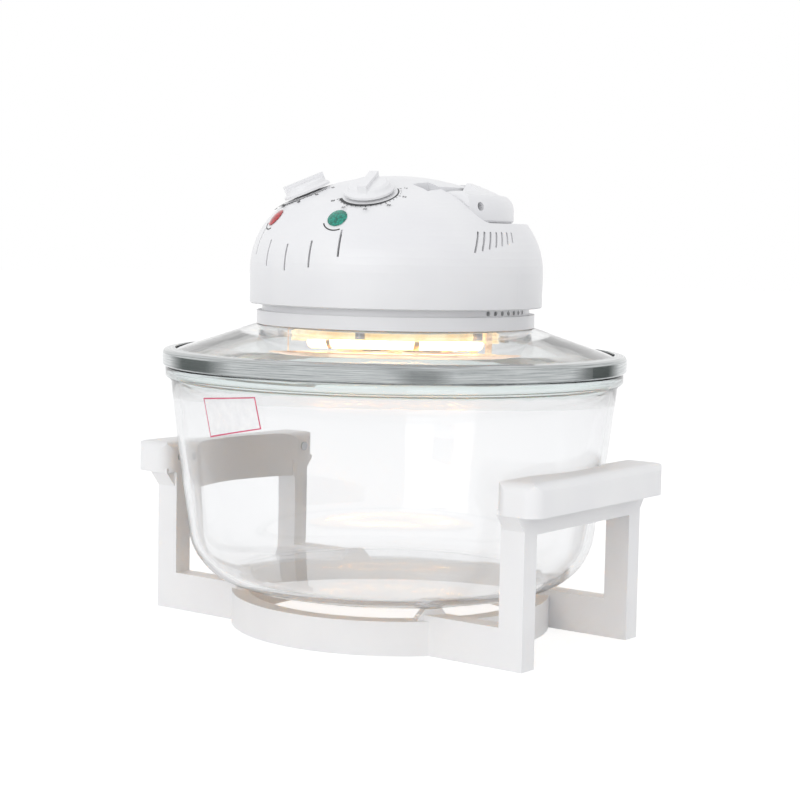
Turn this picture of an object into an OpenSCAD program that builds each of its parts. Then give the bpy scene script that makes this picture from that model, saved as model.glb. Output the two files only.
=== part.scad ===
// Halogen oven: glass bowl in a plastic stand, under a lift-off lid that carries the heater, fan and controls.
// The table is z = 0, the bowl's axis is Z and the stand's front faces -Y.

/* [Stand] */
// Outer radius of the ring that the bowl stands over
ring_r = 118; // [112:1:124]
// Width of the ring's wall
ring_wall = 13; // [10:1:16]
// Height of the ring
ring_h = 24; // [20:1:27]
// Height of the four arms
arm_h = 28; // [25:1:30]
// Centre distance of the posts from the middle, front to back
post_y = 68; // [62:1:72]
// Inner face of the posts, from the middle
post_x = 148; // [146:1:152]
// Thickness of a post, side to side
post_t = 19; // [16:1:22]
// Width of a post, front to back
post_w = 15; // [12:1:18]
// Outer face of the hand rails, from the middle
rail_x = 182; // [176:1:190]
// Half length of a hand rail
rail_y = 86; // [82:1:92]
// Height of the rails' top
rail_top = 128; // [110:1:140]
// Depth of a hand rail
rail_h = 23; // [18:1:28]
// Depth of the web under a hand rail
web_h = 14; // [8:1:20]
// Height of the lugs that carry the bowl
lug_h = 8; // [5:1:12]

/* [Bowl] */
// Radius of the bowl's wall just under the lip
bowl_r = 164; // [160:1:166]
// Height of the bowl, foot to lip
bowl_h = 158; // [140:1:170]
// Thickness of the glass
bowl_wall = 5; // [4:0.5:7]
// Radius of the flat foot
bowl_foot_r = 108; // [104:1:114]
// Radius of the curve from the foot to the wall
bowl_corner = 42; // [34:1:46]
// Radius of the lip
lip_r = 168; // [167:0.5:169]
// Height of the lip
lip_h = 7; // [5:0.5:9]

/* [Lid] */
// Outer radius of the steel band
band_r = 170; // [169.5:0.5:172]
// Height of the steel band
band_h = 12.5; // [11:0.5:15]
// Thickness of the band's sheet
band_t = 1; // [0.8:0.1:1.4]
// Thickness of the lid's glass
lid_wall = 5; // [4:0.5:6]
// Rise of the glass from the band to the collar
lid_rise = 19; // [15:1:24]
// Radius of the hole in the middle of the glass
lid_hole_r = 88; // [86:1:92]

/* [Head] */
// Turn of the head on the bowl, seen from above
head_turn = -9.5; // [-30:0.5:30]
// Radius of the collar
collar_r = 102; // [100:0.5:104]
// Height of the collar
collar_h = 9.5; // [8:0.5:12]
// Radius of the grooved neck
neck_r = 98; // [96:0.5:99]
// Height of the groove
neck_h = 5; // [4:0.5:7]
// Radius of the cover's skirt
cover_r = 107.3; // [105:0.1:112]
// Wall of the cover
cover_wall = 2.6; // [2:0.1:3.2]
// Radius of the cover's shoulder
shoulder_r = 57; // [50:1:60]
// Radius of the crown
crown_r = 170; // [160:1:200]
// Height of the crown's top over the table
crown_top = 330; // [326:1:340]

/* [Controls] */
// Place of the dials: distance from the middle of the crown
dial_out = 67; // [62:1:70]
// Place of the dials: angle from the front
dial_az = 29.4; // [27:0.1:34]
// Radius of a knob's skirt
knob_r = 17.5; // [14:0.5:19]
// Height of a knob
knob_h = 9.5; // [8.5:0.5:16]
// Radius of a dial's shaft
dial_shaft_r = 3; // [2.5:0.1:3.5]
// Turning clearance round every shaft and pin
run_gap = 0.05; // [0.02:0.01:0.09]
// Radius of a lamp lens
lamp_r = 7.2; // [5:0.1:9]
// Distance of the lamps from the middle
lamp_out = 94; // [90:0.5:98]
// Angle of the lamps from the front
lamp_az = 20.6; // [16:0.1:26]

/* [Carrying handle] */
// Outer radius of the handle's bow
bow_r = 85; // [82:0.5:88]
// Width of the bow
bow_w = 30; // [24:1:34]
// Height of the handle's pivot over the table
pivot_z = 308; // [304:0.5:310]
// Half height of the handle's ears
ear_r = 11; // [9:0.5:12]
// Rise of the bow over the crown
bow_rise = 4; // [2:0.5:6]
// Radius of the pivot pins
pin_r = 3; // [2:0.1:4]
// Gap between the folded handle and the cover
handle_gap = 0.5; // [0.3:0.1:1]
// Gap that the rising bow needs beside the crown
bow_swing = 2.4; // [2:0.1:4]
// Travel of the switch plunger
plunger_travel = 3; // [2:0.5:4]

/* [Heater and fan] */
// Radius of the lamp ring's centre line
heater_r = 60; // [54:1:64]
// Radius of the quartz tube
tube_r = 5; // [4:0.5:6]
// Radius of the guard's posts
guard_r = 78; // [74:1:80]
// Radius of the guard pan's rim
pan_r = 93; // [90:1:96]
// Height of the guard, pan to housing
guard_h = 22; // [20:0.5:26]
// Angle between guard posts
post_step = 72; // [60:1:80]
// Radius of the hot-air fan
fan_r = 44; // [36:1:48]
// Blades on each fan
fan_blades = 8; // [5:1:10]
// Radius of the fan shaft
shaft_r = 3; // [2.5:0.1:4]
// Radius of the cooling fan
cooler_r = 50; // [40:1:54]

/* [Hidden] */
$fn = 96;

eps = 0.01;
white = "#f2f2f4";
seat_gap = 0.3;
bowl_z = ring_h + lug_h;
rim_z = bowl_z + bowl_h;
band_top = rim_z + band_h;
collar_z = band_top + lid_rise;
neck_z = collar_z + collar_h;
skirt_z = neck_z + neck_h;
arm_start = sqrt(pow(ring_r - ring_wall / 2, 2) - pow(post_y, 2));
crown_c = crown_top - crown_r;
shoulder_c = cover_r - shoulder_r;
// Where the shoulder's arc meets the crown's arc, both tangent
meet_a = asin(shoulder_c / (crown_r - shoulder_r));
dome_z = crown_c + (crown_r - shoulder_r) * cos(meet_a);
dial_slope = asin(dial_out / crown_r);
lamp_slope = 90 - acos((lamp_out - shoulder_c) / shoulder_r);

function arc(c, r, a0, a1, n) = [for (i = [0:n]) c + r * [cos(a0 + (a1 - a0) * i / n), sin(a0 + (a1 - a0) * i / n)]];

module in_head() {
  rotate([0, 0, head_turn]) children();
}

// Puts z = 0 on the crown at a dial, with Z along its shaft; side 1 is the right dial
module at_dial(side) {
  in_head() rotate([0, 0, side * dial_az]) translate([0, 0, crown_c]) rotate([dial_slope, 0, 0])
    translate([0, 0, crown_r]) children();
}

module at_lamp(side) {
  in_head() rotate([0, 0, side * lamp_az]) translate([0, -shoulder_c, dome_z]) rotate([lamp_slope, 0, 0])
    translate([0, 0, shoulder_r]) children();
}

// A ring or disc between two radii
module washer(ro, ri, z, h) {
  translate([0, 0, z]) difference() {
    cylinder(r = ro, h = h);
    if (ri > 0) translate([0, 0, -1]) cylinder(r = ri, h = h + 2);
  }
}

module rounded_box_2d(w, d, r) {
  square([w - 2 * r, d], center = true);
  square([w, d - 2 * r], center = true);
  for (x = [-1, 1], y = [-1, 1]) translate([x * (w / 2 - r), y * (d / 2 - r)]) circle(r = r, $fn = 32);
}

// Stand
screw_r = 1.7;
screw_head_r = 3.4;
lug_w = 18;
lug_t = 9;
arm_end = 4;

module base_ring() color(white) {
  difference() {
    union() {
      difference() {
        cylinder(r = ring_r, h = ring_h);
        translate([0, 0, -1]) cylinder(r = ring_r - ring_wall, h = ring_h + 2);
      }
      for (x = [-1, 1], y = [-1, 1]) {
        intersection() {
          translate([x > 0 ? arm_start - 8 : -post_x, y * post_y - post_w / 2, 0])
            cube([post_x - arm_start + 8, post_w, arm_h]);
          difference() {
            translate([-post_x - 1, -post_x, 0]) cube([2 * post_x + 2, 2 * post_x, arm_h]);
            translate([0, 0, -1]) cylinder(r = ring_r - ring_wall + 1, h = arm_h + 2);
          }
        }
        bowl_lug(x, y);
      }
    }
    translate([0, 0, -eps]) washer(ring_r - 3, ring_r - ring_wall + 3, 0, ring_h - 4);
    for (x = [-1, 1], y = [-1, 1])
      translate([x > 0 ? arm_start + 10 : -post_x + arm_end, y * post_y - post_w / 2 + 3, -eps])
        cube([post_x - arm_start - 10 - arm_end, post_w - 6, arm_h - 4]);
  }
}

// Upstanding lug on the ring, where an arm leaves it; the bowl's foot rests on its top
module bowl_lug(x, y) {
  a = atan2(y * post_y, x * arm_start);
  rotate([0, 0, a]) translate([ring_r - ring_wall / 2 - lug_t / 2 - 2, 0, ring_h - 4])
    rotate([90, 0, 90]) translate([0, 0, 0]) linear_extrude(lug_t)
      polygon([[-lug_w / 2 - 3, 0], [lug_w / 2 + 3, 0], [lug_w / 2 + 3, 4], [lug_w / 2 - 3, lug_h + 4],
               [-lug_w / 2 + 3, lug_h + 4], [-lug_w / 2 - 3, 4]]);
}

module stand_handle() {
  rail_z = rail_top - rail_h;
  over = rail_y - post_y - post_w / 2;
  difference() {
    union() {
      for (y = [-1, 1]) {
        translate([post_x, y * post_y - post_w / 2, 0]) cube([post_t, post_w, rail_z + 4]);
        // Gusset that runs out under the end of the rail
        translate([post_x + 2, 0, 0]) rotate([90, 0, 90]) linear_extrude(post_t - 2)
          polygon([[y * (post_y + post_w / 2 - 2), rail_z - over - 3], [y * (rail_y - 2), rail_z],
                   [y * (rail_y - 2), rail_z + 3], [y * (post_y + post_w / 2 - 2), rail_z + 3]]);
      }
      translate([post_x + 2, -post_y, rail_z - web_h]) cube([post_t - 2, 2 * post_y, web_h + 3]);
      stand_rail();
    }
    // Inner faces follow the bowl
    translate([0, 0, rail_z - web_h - 1]) cylinder(r = bowl_r - 3, h = rail_h + web_h + 2);
    // Hollow under the rail, open below outside the web
    translate([post_x + post_t + 2, -rail_y + 12, rail_z - 1]) cube([rail_x - post_x - post_t - 5, 2 * rail_y - 24, rail_h - 4]);
  }
}

// Rail: rounded in plan and along its top edges
module stand_rail() {
  w = rail_x - post_x;
  intersection() {
    translate([post_x + w / 2, 0, rail_top - rail_h]) linear_extrude(rail_h) rounded_box_2d(w, 2 * rail_y, 10);
    translate([0, rail_y + 1, 0]) rotate([90, 0, 0]) linear_extrude(2 * rail_y + 2)
      polygon(concat([[post_x, rail_top - rail_h], [rail_x, rail_top - rail_h]],
                     arc([rail_x - 7, rail_top - 7], 7, 0, 90, 6), arc([post_x + 7, rail_top - 7], 7, 90, 180, 6)));
    rotate([90, 0, 90]) linear_extrude(rail_x + 1)
      polygon(concat([[-rail_y, rail_top - rail_h], [rail_y, rail_top - rail_h]],
                     arc([rail_y - 7, rail_top - 7], 7, 0, 90, 6), arc([-rail_y + 7, rail_top - 7], 7, 90, 180, 6)));
  }
}

module left_stand_handle() color(white) mirror([1, 0, 0]) stand_handle();

module right_stand_handle() color(white) stand_handle();

// Screw heads: one on the inner face at each post's top, one in the hollow end of each arm
module stand_screws() color("silver") for (s = [-1, 1], y = [-1, 1]) {
  translate([s * post_x, y * (post_y + 3), rail_top - rail_h / 2]) rotate([0, -s * 90, 0])
    cylinder(r = screw_head_r, h = 1.2, $fn = 32);
  translate([s * (post_x - arm_end), y * post_y, arm_h / 2 - 2]) rotate([0, -s * 90, 0])
    cylinder(r = screw_head_r, h = 1.6, $fn = 32);
}

// Bowl
module glass_bowl() color("lightcyan", 0.35) {
  t = bowl_wall;
  top = rim_z;
  wall_z = bowl_z + bowl_corner;
  edge = bowl_foot_r + bowl_corner;
  out = concat([[0, bowl_z], [bowl_foot_r, bowl_z]],
               arc([bowl_foot_r, wall_z], bowl_corner, -80, -6, 10),
               [[(edge + bowl_r) / 2 + 1.5, (wall_z + top) / 2], [bowl_r, top - lip_h - 3], [lip_r, top - lip_h],
                [lip_r, top - 1.5], [lip_r - 1.5, top]]);
  inner = concat([[bowl_r - t + 1.5, top], [bowl_r - t, top - 1.5], [(edge + bowl_r) / 2 + 1.5 - t, (wall_z + top) / 2]],
                 arc([bowl_foot_r, wall_z], bowl_corner - t, -6, -90, 10), [[0, bowl_z + t]]);
  rotate_extrude() polygon(concat(out, inner));
}

// Lid
glass_edge = band_r - band_t - 1;
seal_in = bowl_r - bowl_wall - 1;

module lid_rim_band() color("silver") {
  h = band_h;
  rotate_extrude() polygon([
    [band_r - 1.5, rim_z + seat_gap], [band_r, rim_z + 1.5], [band_r, band_top - 3], [band_r - 1, band_top - 0.8],
    [band_r - 3, band_top], [band_r - 9, band_top + 0.6], [band_r - 9, band_top - 0.3],
    [band_r - 3.2, band_top - band_t], [band_r - band_t, band_top - 3.4], [band_r - band_t, rim_z + 1.5],
    [band_r - 4, rim_z + band_t + seat_gap], [band_r - 4, rim_z + seat_gap]]);
}

// Glass cone with a flat land under the collar
module lid_glass() color("lightcyan", 0.35) {
  rise = collar_z - band_top;
  edge_z = band_top - 1.6;
  rotate_extrude() polygon([
    [glass_edge - 1, edge_z - 3.5], [glass_edge - 1, edge_z - 2], [glass_edge - 3, edge_z],
    [glass_edge - 8, edge_z + 0.8], [collar_r - 1, collar_z],
    [lid_hole_r, collar_z], [lid_hole_r, collar_z - lid_wall], [lid_hole_r + 8, collar_z - lid_wall],
    [glass_edge - 8, edge_z - lid_wall + 0.6], [glass_edge - 3, edge_z - lid_wall]]);
}

module lid_seal() color("whitesmoke") {
  top = band_top - 1.7 - lid_wall;
  rotate_extrude() polygon([
    [seal_in + 3, rim_z + seat_gap], [glass_edge - 3.5, rim_z + seat_gap], [glass_edge - 2, rim_z + 2],
    [glass_edge - 2, top + 0.5], [glass_edge - 3, top], [seal_in + 4, top]]);
}

clamp_z = collar_z - lid_wall - 1.5;
boss_n = 6;
boss_r = 84;

module clamp_ring() color("silver") difference() {
  washer(lid_hole_r + 6, boss_r - 4.5, clamp_z, 1.5);
  for (i = [0:boss_n - 1]) in_head() rotate([0, 0, i * 360 / boss_n])
    translate([boss_r, 0, clamp_z - 1]) cylinder(r = screw_r + 0.2, h = 4, $fn = 32);
}

module clamp_screws() color("silver") in_head()
  for (i = [0:boss_n - 1]) rotate([0, 0, i * 360 / boss_n]) translate([boss_r, 0, 0]) {
    translate([0, 0, clamp_z - 2]) cylinder(r = screw_head_r, h = 2, $fn = 32);
    translate([0, 0, clamp_z - 1]) cylinder(r = screw_r, h = lid_wall + 10, $fn = 32);
  }

// Head base: collar, grooved neck with vents, floor and screw bosses
floor_z = collar_z + 4;
floor_t = 2.5;
vent_r = 1.7;
vent_step = 4.4;
gland_r = 6.5;
gland_z = skirt_z + 14;

module head_base() color(white) difference() {
  union() {
    washer(collar_r, collar_r - 4, collar_z, collar_h);
    washer(neck_r, neck_r - 3, neck_z - 3, neck_h + 3 + 4);
    washer(collar_r - 1, 8, floor_z, floor_t);
    washer(lid_hole_r - 0.5, lid_hole_r - 3, collar_z, floor_z - collar_z + 1);
    in_head() for (i = [0:boss_n - 1]) rotate([0, 0, i * 360 / boss_n]) translate([boss_r, 0, 0])
      translate([0, 0, clamp_z + 1.5]) cylinder(r = 3.6, h = floor_z - clamp_z + 8, $fn = 32);
    washer(cover_r - cover_wall - 0.2, neck_r - 3, skirt_z, 3);
    in_head() for (a = motor_feet) rotate([0, 0, a]) translate([motor_foot_r, 0, floor_z])
      cylinder(r = 4, h = motor_z - floor_z - 1.2, $fn = 32);
  }
  in_head() {
    for (i = [0:boss_n - 1]) rotate([0, 0, i * 360 / boss_n]) translate([boss_r, 0, clamp_z])
      cylinder(r = screw_r, h = lid_wall + 9, $fn = 32);
    for (s = [-1, 1], i = [0:6]) rotate([0, 0, s * (2.8 + i * vent_step) - 90 + s * 85])
      translate([neck_r - 8, 0, neck_z + neck_h / 2]) rotate([0, 90, 0]) cylinder(r = vent_r, h = 20, $fn = 32);
    for (s = [-1, 1]) translate([0, s * heater_lead, floor_z - 1]) cylinder(r = 4, h = 6, $fn = 32);
    for (a = [30:60:330]) rotate([0, 0, a]) translate([66, 0, floor_z - 1]) cylinder(r = 6, h = 6, $fn = 32);
    for (a = [45:90:315]) rotate([0, 0, a]) translate([column_r, 0, floor_z - 1]) cylinder(r = screw_r + 0.2, h = 6, $fn = 32);
  }
}

heater_lead = 72;
motor_feet = [20, 160, 200, 340];
motor_foot_r = 60;
column_r = 91;

// Cover: straight skirt, round shoulder and shallow crown; d takes the surface inwards
module cover_outside(d) {
  r = cover_r - d;
  foot = skirt_z - (d > 0 ? 1 : 0);
  edge = d > 0 ? 0 : 0.8;
  rotate_extrude() polygon(concat([[0, foot], [r - edge, foot], [r, foot + edge]],
    arc([shoulder_c, dome_z], shoulder_r - d, 0, 90 - meet_a, 12),
    arc([0, crown_c], crown_r - d, 90 - meet_a + 3, 90, 7)));
}

slot_w = 1.6;

module head_cover() color(white) difference() {
  union() {
    difference() {
      cover_outside(0);
      difference() {
        cover_outside(cover_wall);
        rooms(cover_wall);
      }
    }
    // Columns that take the screws from under the floor
    intersection() {
      cover_outside(1);
      in_head() for (a = [45:90:315]) rotate([0, 0, a]) translate([column_r, 0, floor_z + floor_t])
        cylinder(r = 3.8, h = 100, $fn = 32);
    }
  }
  rooms(0);
  in_head() for (a = [45:90:315]) rotate([0, 0, a]) translate([column_r, 0, floor_z])
    cylinder(r = screw_r, h = 16, $fn = 32);
  front_slots();
  side_slots();
  for (s = [-1, 1]) {
    at_dial(s) translate([0, 0, -8]) cylinder(r = dial_shaft_r + 1.5, h = 12, $fn = 48);
    at_lamp(s) translate([0, 0, -6]) cylinder(r = lamp_r - 0.6, h = 10, $fn = 48);
  }
  in_head() translate([0, 0, gland_z]) rotate([-90, 0, 0]) cylinder(r = gland_r, h = cover_r + 5, $fn = 48);
  in_head() translate([-pin_in - 6, 0, pivot_z]) rotate([0, 90, 0]) cylinder(r = pin_r + run_gap, h = 2 * pin_in + 12, $fn = 48);
  in_head() translate([plunger_x, plunger_y, shelf_z - 6]) cylinder(r = plunger_r + 0.3, h = 8, $fn = 48);
}

// Room for the folded handle: the bow's ring behind the pivot and the round ends of the ears
shelf_z = pivot_z - ear_r - handle_gap;

// What is cut away for the handle; t grows it, for the walls round it
module rooms(t) in_head() {
  intersection() {
    union() {
      translate([-cover_r - 1, -t, shelf_z - t]) cube([2 * cover_r + 2, cover_r + 1 + t, 60]);
      translate([-cover_r - 1, 0, pivot_z]) rotate([0, 90, 0])
        cylinder(r = ear_r + handle_gap + t, h = 2 * cover_r + 2);
      translate([-cover_r - 1, -ear_r - handle_gap - t, pivot_z])
        cube([2 * cover_r + 2, ear_r + handle_gap + t, 40]);
    }
    washer(cover_r + 5, bow_r - bow_w - bow_swing - t, shelf_z - t - 12, 80);
  }
  // Room for the fingers behind and under the grip
  translate([-finger_w / 2 - t, finger_y - t, finger_z - t]) cube([finger_w + 2 * t, cover_r, 60]);
  // Pockets in front of the ears
  for (s = [-1, 1]) translate([s * 49 - 8 - t, -25 - t, pivot_z - t]) cube([16 + 2 * t, 16 + 2 * t, 40]);
}

finger_w = 76;
finger_y = 60;
finger_z = 283;

module front_slots() in_head()
  for (i = [-2:2]) rotate([0, 0, i * 12.2])
    translate([-slot_w / 2, -cover_r - 5, 261 + 2.6 * i * i]) cube([slot_w, 14, 18.5]);

module side_slots() in_head()
  for (s = [-1, 1], i = [0:6]) rotate([0, 0, s * (79 + i * 3.4)])
    translate([0, -cover_r - 5, 283 + i * 0.6]) rotate([0, s * 24, 0])
      translate([-slot_w / 2, 0, -8 + i * 0.7]) cube([slot_w, 30, 16 - i * 1.4]);

module cable_gland() color("whitesmoke") in_head() translate([0, 0, gland_z]) rotate([-90, 0, 0]) difference() {
  union() {
    translate([0, 0, cover_r - cover_wall - 4]) cylinder(r = gland_r - 0.1, h = cover_wall + 4.5, $fn = 48);
    translate([0, 0, cover_r]) cylinder(r1 = gland_r + 2.5, r2 = gland_r + 1.5, h = 3, $fn = 48);
    translate([0, 0, cover_r - cover_wall - 5.4]) cylinder(r = gland_r + 2, h = 2.2, $fn = 48);
  }
  translate([0, 0, cover_r - 12]) cylinder(r = 3.5, h = 20, $fn = 48);
}

lens_drop = 18;

module lamp_lens(c) color(c) {
  rotate_extrude($fn = 48) polygon(concat([[0, -8], [lamp_r - 1, -8], [lamp_r - 1, 0.15], [lamp_r, 0.15]],
    arc([0, 0.15 - lens_drop], norm([lens_drop, lamp_r]), atan2(lens_drop, lamp_r), 90, 8)));
}

module power_lamp() at_lamp(-1) lamp_lens("red");

module heat_lamp() at_lamp(1) lamp_lens("seagreen");

// Timer and thermostat bodies, hung on their shafts under the crown
body_top = -cover_wall - 3.2;

module dial_body(w, d, h) {
  difference() {
    union() {
      translate([0, 0, body_top - h]) linear_extrude(h) rounded_box_2d(w, d, 4);
      translate([0, 0, body_top - eps]) cylinder(r = 6, h = 3, $fn = 48);
    }
    translate([0, 0, body_top - h + 4]) cylinder(r = dial_shaft_r + run_gap, h = h + 8, $fn = 48);
  }
}

module timer_body() color("tan") at_dial(1) dial_body(36, 36, 22);

module thermostat_body() color("gray") at_dial(-1) dial_body(32, 32, 16);

module dial_shaft(h) {
  translate([0, 0, body_top - h + 5]) cylinder(r = dial_shaft_r, h = h - 5 - body_top + knob_h - 4, $fn = 48);
}

module timer_shaft() color("silver") at_dial(1) dial_shaft(22);

module thermostat_shaft() color("silver") at_dial(-1) dial_shaft(16);

// Knob: low skirt, tapered drum and a finger bar across the top
module dial_knob() color(white) difference() {
  union() {
    translate([0, 0, 0.8]) rotate_extrude($fn = 64)
      polygon([[0, 0], [knob_r, 0], [knob_r, 1.6], [knob_r - 2, 3.2], [knob_r - 3, 5.5],
               [knob_r - 3.6, knob_h - 4], [knob_r - 5, knob_h - 3], [0, knob_h - 2.4]]);
    translate([-3.2, -knob_r + 2.5, 2]) cube([6.4, 2 * knob_r - 5, knob_h - 1.2]);
  }
  translate([0, 0, -1]) cylinder(r = dial_shaft_r, h = knob_h - 3, $fn = 48);
}

module timer_knob() at_dial(1) dial_knob();

module thermostat_knob() at_dial(-1) dial_knob();

// Heat shield, insulation, reflector and lamp
shield_z = collar_z + 1;
hub_hole = 9;

module heat_shield() color("silver") difference() {
  washer(lid_hole_r - 3.5, hub_hole, shield_z, 1);
  in_head() for (i = [0:boss_n - 1]) rotate([0, 0, i * 360 / boss_n]) translate([boss_r, 0, shield_z - 1])
    cylinder(r = 4, h = 3, $fn = 32);
}

module mica_disc() color("peru") washer(guard_r - 2, hub_hole, shield_z - 2 + eps, 2 - 2 * eps);

refl_top = shield_z - 2;

module reflector() color("gainsboro") rotate_extrude() polygon([
  [hub_hole, refl_top], [guard_r - 3, refl_top], [guard_r - 1.5, refl_top - 9], [guard_r - 2.5, refl_top - 9],
  [guard_r - 4.5, refl_top - 1.6], [heater_r - 14, refl_top - 1.6], [heater_r - 15, refl_top - 4.5],
  [heater_r - 16, refl_top - 4.5], [heater_r - 17, refl_top - 1], [hub_hole, refl_top - 1]]);

tube_z = refl_top - 9.5;
tube_open = 26;

module at_tube_end(s) in_head() rotate([0, 0, 90 + s * tube_open / 2]) children();

module halogen_tube() color("white", 0.5) in_head() rotate([0, 0, 90 + tube_open / 2])
  translate([0, 0, tube_z]) rotate_extrude(angle = 360 - tube_open) translate([heater_r, 0]) difference() {
    circle(r = tube_r, $fn = 32);
    circle(r = tube_r - 1, $fn = 32);
  }

// Coiled wire as a plain core, with the discs that hold it off the quartz
module lamp_filament() color("orange") in_head() rotate([0, 0, 90 + tube_open / 2]) translate([0, 0, tube_z]) {
  rotate_extrude(angle = 360 - tube_open) translate([heater_r, 0]) circle(r = 1.3, $fn = 16);
  for (i = [1:9]) rotate([0, 0, i * (360 - tube_open) / 10]) rotate_extrude(angle = 0.6) translate([heater_r, 0])
    circle(r = tube_r - 1.3, $fn = 32);
}

module lamp_end_caps() color("ivory") for (s = [-1, 1]) at_tube_end(s) translate([heater_r, 0, tube_z]) {
  rotate([-s * 90, 0, 0]) translate([0, 0, -4.5]) cylinder(r = tube_r + 1, h = 4.5, $fn = 32);
  translate([-2.5, s > 0 ? -4.4 : 0.2, tube_r - 1]) cube([5, 4.2, refl_top - tube_z - tube_r - 0.7]);
}

// Spring clips that hold the tube under the reflector
module lamp_clips() color("silver") in_head() for (a = [-30, -90, -150]) rotate([0, 0, a])
  translate([heater_r, 2, tube_z]) rotate([90, 0, 0]) linear_extrude(4) {
    difference() {
      circle(r = tube_r + 1, $fn = 32);
      circle(r = tube_r + 0.15, $fn = 32);
      translate([-3, -tube_r - 3]) square([6, 4]);
    }
    translate([-3, tube_r + 0.6]) square([6, refl_top - 1.6 - tube_z - tube_r - 0.6]);
  }

// Guard: posts from the base down to a slotted pan with a curled rim
guard_top = collar_z + 1;
pan_z = guard_top - guard_h - 1;

module heater_guard() color("gainsboro") {
  difference() {
    rotate_extrude() polygon([
      [0, pan_z], [guard_r + 2, pan_z], [pan_r - 1, pan_z + 3.6], [pan_r, pan_z + 4.4],
      [pan_r - 1.4, pan_z + 4.6], [guard_r + 1.6, pan_z + 1.2], [0, pan_z + 1.2]]);
    for (r = [14:9:68], i = [0:5]) rotate([0, 0, i * 60 + 30]) translate([0, 0, pan_z - 1])
      rotate_extrude(angle = 48) translate([r, 0]) square([5, 4]);
  }
  at_guard_post() {
    translate([0, -4, pan_z + 1]) cube([1, 8, guard_top - pan_z - 1]);
    translate([0, -4, guard_top - 1]) cube([6, 8, 1]);
  }
}

// Four posts, with a wide opening at the front
module at_guard_post() in_head() for (i = [0:3]) rotate([0, 0, 14.5 + i * post_step]) translate([guard_r, 0, 0]) children();

module guard_screws() color("silver") at_guard_post() translate([3.4, 0, guard_top - 2.8])
  cylinder(r = 2.2, h = 1.8, $fn = 32);

// Fan motor over the floor
motor_z = floor_z + 26;
stack_h = 16;
rotor_r = 13;
rotor_gap = 0.6;

module motor_stator() color("dimgray") in_head() translate([0, 0, motor_z]) difference() {
  translate([-26, -26, 0]) cube([52, 66, stack_h]);
  translate([0, 0, -1]) cylinder(r = rotor_r + rotor_gap, h = stack_h + 2);
  for (s = [-1, 1]) translate([s > 0 ? 12 : -26 - eps, 20, -1]) cube([14 + eps, 12, stack_h + 2]);
  for (s = [-1, 1]) translate([s * 20, -20, -1]) cylinder(r = 2.2, h = stack_h + 2, $fn = 32);
}

module motor_coil() color("sienna") in_head() translate([0, 20.3, motor_z - 6]) difference() {
  translate([-22, 0, 0]) cube([44, 11.4, stack_h + 12]);
  translate([-12.1, -1, 5.9]) cube([24.2, 14, stack_h + 0.2]);
}

// Two pressed bridges with sleeve bearings for the shaft
module motor_bracket() color("silver") in_head() difference() {
  union() {
    translate([-26, -26, motor_z - 1.2]) cube([52, 42, 1.2]);
    translate([-26, -26, motor_z + stack_h]) cube([52, 42, 1.2]);
    translate([0, 0, motor_z - 5]) cylinder(r = 7, h = 4, $fn = 48);
    translate([0, 0, motor_z + stack_h + 1]) cylinder(r = 7, h = 5, $fn = 48);
    for (a = motor_feet) rotate([0, 0, a]) {
      translate([motor_foot_r, 0, motor_z - 1.2]) cylinder(r = 5, h = 1.2, $fn = 32);
      translate([10, -3, motor_z - 1.2]) cube([motor_foot_r - 10, 6, 1.2]);
    }
  }
  translate([0, 0, motor_z - 8]) cylinder(r = shaft_r + run_gap, h = stack_h + 20, $fn = 48);
}

module motor_screws() color("silver") in_head() for (a = motor_feet) rotate([0, 0, a])
  translate([motor_foot_r, 0, motor_z]) cylinder(r = screw_head_r, h = 1.8, $fn = 32);

module motor_rotor() color("lightslategray") translate([0, 0, motor_z + 0.6]) difference() {
  cylinder(r = rotor_r, h = stack_h - 1.2);
  translate([0, 0, -1]) cylinder(r = shaft_r, h = stack_h + 2, $fn = 48);
}

fan_z = pan_z + 5;

module fan_shaft() color("silver") translate([0, 0, fan_z - 3]) cylinder(r = shaft_r, h = motor_z + stack_h + 8 - fan_z, $fn = 48);

// Fan wheel: dished disc and flat blades
module fan_wheel(r, h, z, hub) translate([0, 0, z]) difference() {
  union() {
    cylinder(r = hub, h = h, $fn = 48);
    translate([0, 0, h - 0.8]) cylinder(r = r * 0.62, h = 0.8);
    for (i = [0:fan_blades - 1]) rotate([0, 0, i * 360 / fan_blades]) translate([hub - 1, -0.4, 0])
      rotate([18, 0, 0]) cube([r - hub, 0.8, h]);
  }
  translate([0, 0, -1]) cylinder(r = shaft_r, h = h + 2, $fn = 48);
}

module convection_fan() color("lightgray") fan_wheel(fan_r, 8, fan_z, 7);

module cooling_fan() color("whitesmoke") fan_wheel(cooler_r, 9, floor_z + floor_t + 5, 7);

module fan_nut() color("silver") translate([0, 0, fan_z - 2.6]) difference() {
  cylinder(r = 5.5, h = 2.5, $fn = 6);
  translate([0, 0, -1]) cylinder(r = shaft_r, h = 5, $fn = 48);
}

module terminal_block() color("whitesmoke") in_head() translate([-16, 66, floor_z + floor_t]) difference() {
  cube([32, 14, 12]);
  for (i = [0:2]) translate([5.5 + i * 10.5, 7, 6]) cylinder(r = 2.6, h = 8, $fn = 32);
}

// Carrying handle: a flat bow that lies round the back of the crown, hinged at its two ears
plunger_r = 3.5;
plunger_x = 58;
plunger_y = 39;

module bow_profile() {
  // Crown-shaped top and rounded outer edge of the bow
  rotate_extrude() polygon(concat([[bow_r - bow_w, pivot_z - ear_r], [bow_r - 1.5, pivot_z - ear_r],
      [bow_r, pivot_z - ear_r + 1.5]],
    arc([bow_r - 12, pivot_z - 2], 12, 0, 58, 6),
    [for (i = [0:4]) let (x = bow_r - 9 - i * (bow_w - 9) / 4) [x, crown_c + sqrt(pow(crown_r + bow_rise, 2) - x * x)]]));
}

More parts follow.
